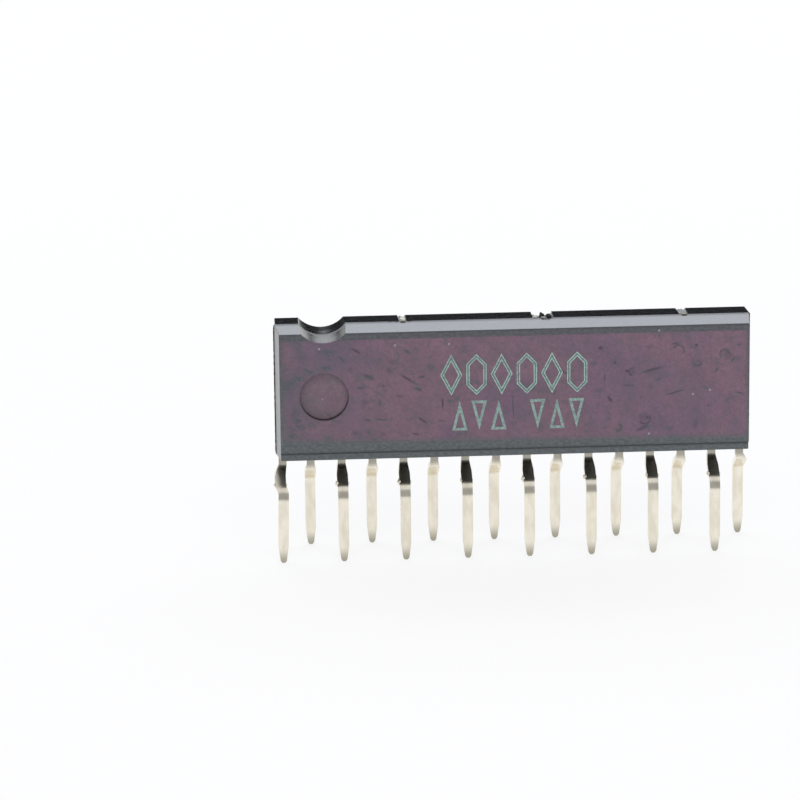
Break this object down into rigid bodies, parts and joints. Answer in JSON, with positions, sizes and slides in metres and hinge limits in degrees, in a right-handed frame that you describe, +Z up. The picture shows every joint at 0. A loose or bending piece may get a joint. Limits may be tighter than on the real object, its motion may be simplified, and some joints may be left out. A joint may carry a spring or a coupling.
{
  "type": "zigzag in-line package integrated circuit",
  "caption": "Upright moulded epoxy circuit package with an end notch and round index mark, on two staggered rows of cranked tinned leads.",
  "frame": {"origin": "centre of the two lead rows, on the plane through the lead tips", "axes": "+X along the body, away from the notched lead 1 end; -Y out of the front face, which has the index mark; +Z up, from the lead tips to the body"},
  "size_m": [0.0196, 0.0028, 0.0097],
  "materials": {
    "moulded_epoxy": "moulded epoxy compound, satin, with a plum cast",
    "tinned_lead": "satin tin plate on copper alloy",
    "bare_frame": "stamped bare copper alloy",
    "silver_adhesive": "silver-filled epoxy",
    "silicon": "polished silicon, opaque",
    "gold_wire": "drawn gold"
  },
  "bodies": {
    "root": {"bond_wire_01": "gold_wire", "bond_wire_02": "gold_wire", "bond_wire_03": "gold_wire", "bond_wire_04": "gold_wire", "bond_wire_05": "gold_wire", "bond_wire_06": "gold_wire", "bond_wire_07": "gold_wire", "bond_wire_08": "gold_wire", "bond_wire_09": "gold_wire", "bond_wire_10": "gold_wire", "bond_wire_11": "gold_wire", "bond_wire_12": "gold_wire", "bond_wire_13": "gold_wire", "bond_wire_14": "gold_wire", "bond_wire_15": "gold_wire", "bond_wire_16": "gold_wire", "die_attach": "silver_adhesive", "die_pad": "bare_frame", "lead_01": "tinned_lead", "lead_02": "tinned_lead", "lead_03": "tinned_lead", "lead_04": "tinned_lead", "lead_05": "tinned_lead", "lead_06": "tinned_lead", "lead_07": "tinned_lead", "lead_08": "tinned_lead", "lead_09": "tinned_lead", "lead_10": "tinned_lead", "lead_11": "tinned_lead", "lead_12": "tinned_lead", "lead_13": "tinned_lead", "lead_14": "tinned_lead", "lead_15": "tinned_lead", "lead_16": "tinned_lead", "package_body": "moulded_epoxy", "silicon_die": "silicon"}
  },
  "joints": []
}
